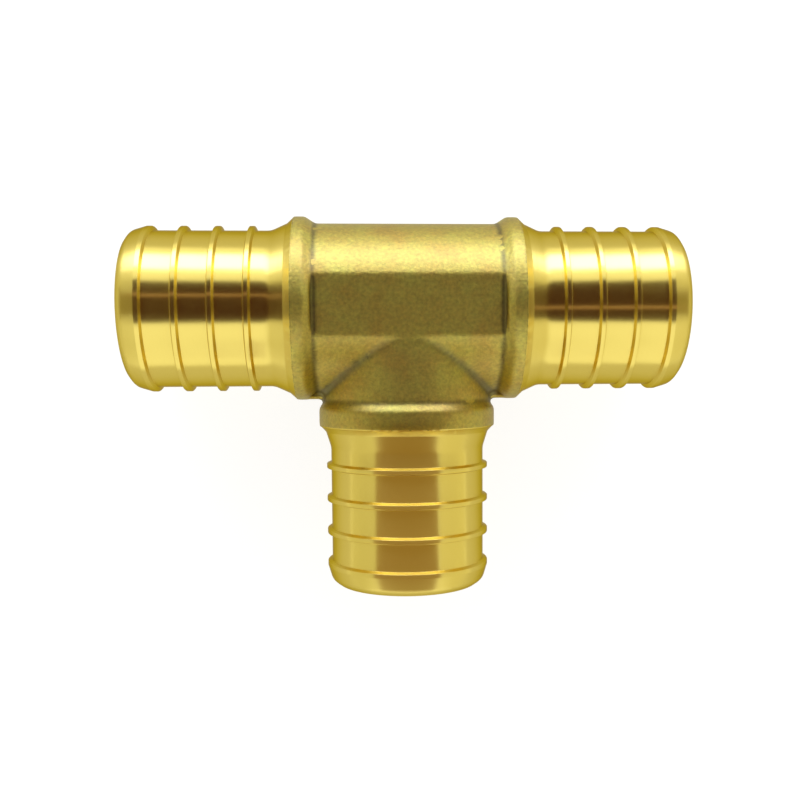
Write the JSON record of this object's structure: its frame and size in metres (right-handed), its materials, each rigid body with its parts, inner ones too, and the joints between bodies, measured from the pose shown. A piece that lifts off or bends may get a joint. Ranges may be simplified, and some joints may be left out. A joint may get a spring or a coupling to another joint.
{
  "type": "barbed tee fitting",
  "caption": "Brass insert tee that joins three PEX tubes, with barbed ends for crimp rings, stop collars and a forged body.",
  "frame": {"origin": "crossing of the run's and the branch's centre lines", "axes": "+X along the run, -Y along the branch, +Z out of one of the body's two flats"},
  "size_m": [0.0582, 0.0396, 0.0194],
  "materials": {
    "brass": "forged and shot-blasted body with bright turned ends"
  },
  "bodies": {
    "root": {"tee_fitting": "brass"}
  },
  "joints": []
}
